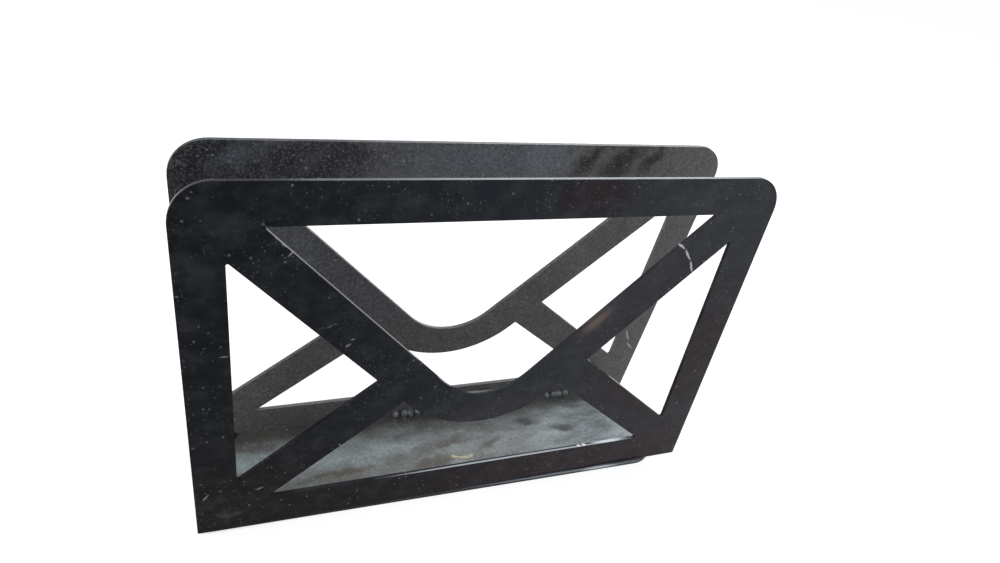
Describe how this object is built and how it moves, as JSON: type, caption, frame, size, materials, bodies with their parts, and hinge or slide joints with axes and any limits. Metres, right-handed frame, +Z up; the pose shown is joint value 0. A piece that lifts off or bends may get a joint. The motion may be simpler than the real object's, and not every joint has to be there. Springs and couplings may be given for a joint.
{
  "type": "envelope sorter",
  "caption": "Desk letter holder: upright envelope-shaped sheet-steel panels with cut-outs, welded to a narrow base plate, so that letters stand between them.",
  "frame": {"origin": "under the middle of the panels, on the surface that the base plate rests on", "axes": "+X along the panels, +Y from the front panel to the rear panel, +Z up"},
  "size_m": [0.196, 0.0506, 0.13],
  "materials": {
    "panel_enamel": "gloss black enamel with fine scratches and dust",
    "base_enamel": "gloss black enamel under grey dust and brown stains",
    "weld_enamel": "gloss black enamel over a rippled weld"
  },
  "bodies": {
    "root": {"front_panel": "panel_enamel", "rear_panel": "panel_enamel", "base_plate": "base_enamel", "front_weld_tacks": "weld_enamel", "rear_weld_tacks": "weld_enamel"}
  },
  "joints": []
}
